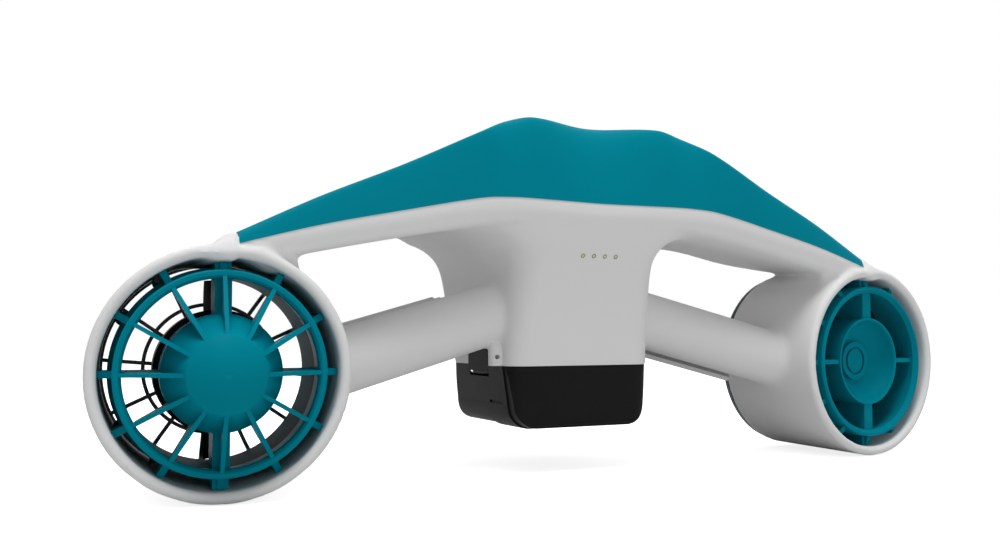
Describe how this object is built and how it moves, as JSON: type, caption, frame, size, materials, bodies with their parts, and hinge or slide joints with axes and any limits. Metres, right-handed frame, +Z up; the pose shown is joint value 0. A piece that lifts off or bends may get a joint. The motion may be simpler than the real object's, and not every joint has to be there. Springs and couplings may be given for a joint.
{
  "type": "underwater scooter",
  "caption": "Hand-held underwater scooter: wing hull with ducted thrusters at its ends, tube grips with finger triggers, central tower with a battery pack that drops out below.",
  "frame": {"origin": "centre of the bounding box, at the height of the lowest points of the two ducts", "axes": "+X to the right seen from behind, +Y the way it travels, +Z up"},
  "size_m": [0.4962, 0.1845, 0.1837],
  "materials": {
    "white_shell": "satin moulded, pale grey white",
    "teal_shell": "satin moulded teal",
    "teal_parts": "moulded teal",
    "dark_teal": "moulded dark teal",
    "dark_plastic": "moulded near black",
    "battery_black": "moulded black, fine grain",
    "steel": "stainless",
    "iron": "laminated",
    "brass": "turned",
    "rubber": "moulded",
    "cell_wrap": "shrink wrap",
    "circuit_board": "solder mask",
    "gauge_lens": "clear, faint yellow green"
  },
  "bodies": {
    "frame": {"top_shell": "teal_shell", "hull_shell": "white_shell", "tower": "white_shell", "control_board": "circuit_board", "camera_insert": "brass", "gauge_lenses": "gauge_lens", "gauge_board": "circuit_board", "contact_block": "dark_plastic", "rear_guard": "teal_parts", "left_duct": "white_shell", "left_grip": "white_shell", "left_nozzle": "teal_parts", "left_propeller_ring": "dark_plastic", "left_ring_screws": "steel", "left_intake_guard": "dark_teal", "left_motor_case": "dark_plastic", "left_motor_stator": "iron", "left_bearings": "steel", "left_shaft_seal": "rubber", "left_trigger_pin": "steel", "left_trigger_spring": "steel", "right_duct": "white_shell", "right_grip": "white_shell", "right_nozzle": "teal_parts", "right_propeller_ring": "dark_plastic", "right_ring_screws": "steel", "right_intake_guard": "dark_teal", "right_motor_case": "dark_plastic", "right_motor_stator": "iron", "right_bearings": "steel", "right_shaft_seal": "rubber", "right_trigger_pin": "steel", "right_trigger_spring": "steel"},
    "battery_pack": {"battery_case": "battery_black", "battery_lid": "battery_black", "battery_cells": "cell_wrap", "battery_seal": "rubber", "battery_contacts": "brass", "left_latch_pin": "steel", "left_latch_spring": "steel", "right_latch_pin": "steel", "right_latch_spring": "steel"},
    "left_screw_propeller": {"left_propeller": "dark_plastic", "left_propeller_nut": "steel", "left_shaft": "steel", "left_motor_rotor": "iron"},
    "left_finger_trigger": {"left_trigger": "white_shell"},
    "left_pack_latch": {"left_latch": "battery_black"},
    "right_screw_propeller": {"right_propeller": "dark_plastic", "right_propeller_nut": "steel", "right_shaft": "steel", "right_motor_rotor": "iron"},
    "right_finger_trigger": {"right_trigger": "white_shell"},
    "right_pack_latch": {"right_latch": "battery_black"}
  },
  "joints": [
    {"name": "left_propeller_spin", "type": "hinge", "parent": "frame", "child": "left_screw_propeller", "pos_m": [-0.1923, -0.06781, 0.0562], "axis": [0.1011, 0.9949, 0], "continuous": true},
    {"name": "left_trigger_press", "type": "hinge", "parent": "frame", "child": "left_finger_trigger", "pos_m": [-0.09811, -0.01865, 0.08258], "axis": [0.955, 0.1478, 0.2571], "range_deg": [-9, 0], "stiffness_Nm_per_rad": 0.4, "springref_deg": 11.46},
    {"name": "left_latch_swing", "type": "hinge", "parent": "battery_pack", "child": "left_pack_latch", "pos_m": [-0.0406, -0.00991, 0.0528], "axis": [0, -1, 0], "range_deg": [-6, 10], "stiffness_Nm_per_rad": 0.02},
    {"name": "right_propeller_spin", "type": "hinge", "parent": "frame", "child": "right_screw_propeller", "pos_m": [0.1923, -0.06781, 0.0562], "axis": [-0.1011, 0.9949, 0], "continuous": true},
    {"name": "right_trigger_press", "type": "hinge", "parent": "frame", "child": "right_finger_trigger", "pos_m": [0.09811, -0.01865, 0.08258], "axis": [0.955, -0.1478, -0.2571], "range_deg": [-9, 0], "stiffness_Nm_per_rad": 0.4, "springref_deg": 11.46},
    {"name": "right_latch_swing", "type": "hinge", "parent": "battery_pack", "child": "right_pack_latch", "pos_m": [0.0406, -0.00991, 0.0528], "axis": [0, 1, 0], "range_deg": [-6, 10], "stiffness_Nm_per_rad": 0.02},
    {"name": "battery_slide", "type": "slide", "parent": "frame", "child": "battery_pack", "axis": [0, 0, 1], "range_m": [-0.045, 0]}
  ]
}
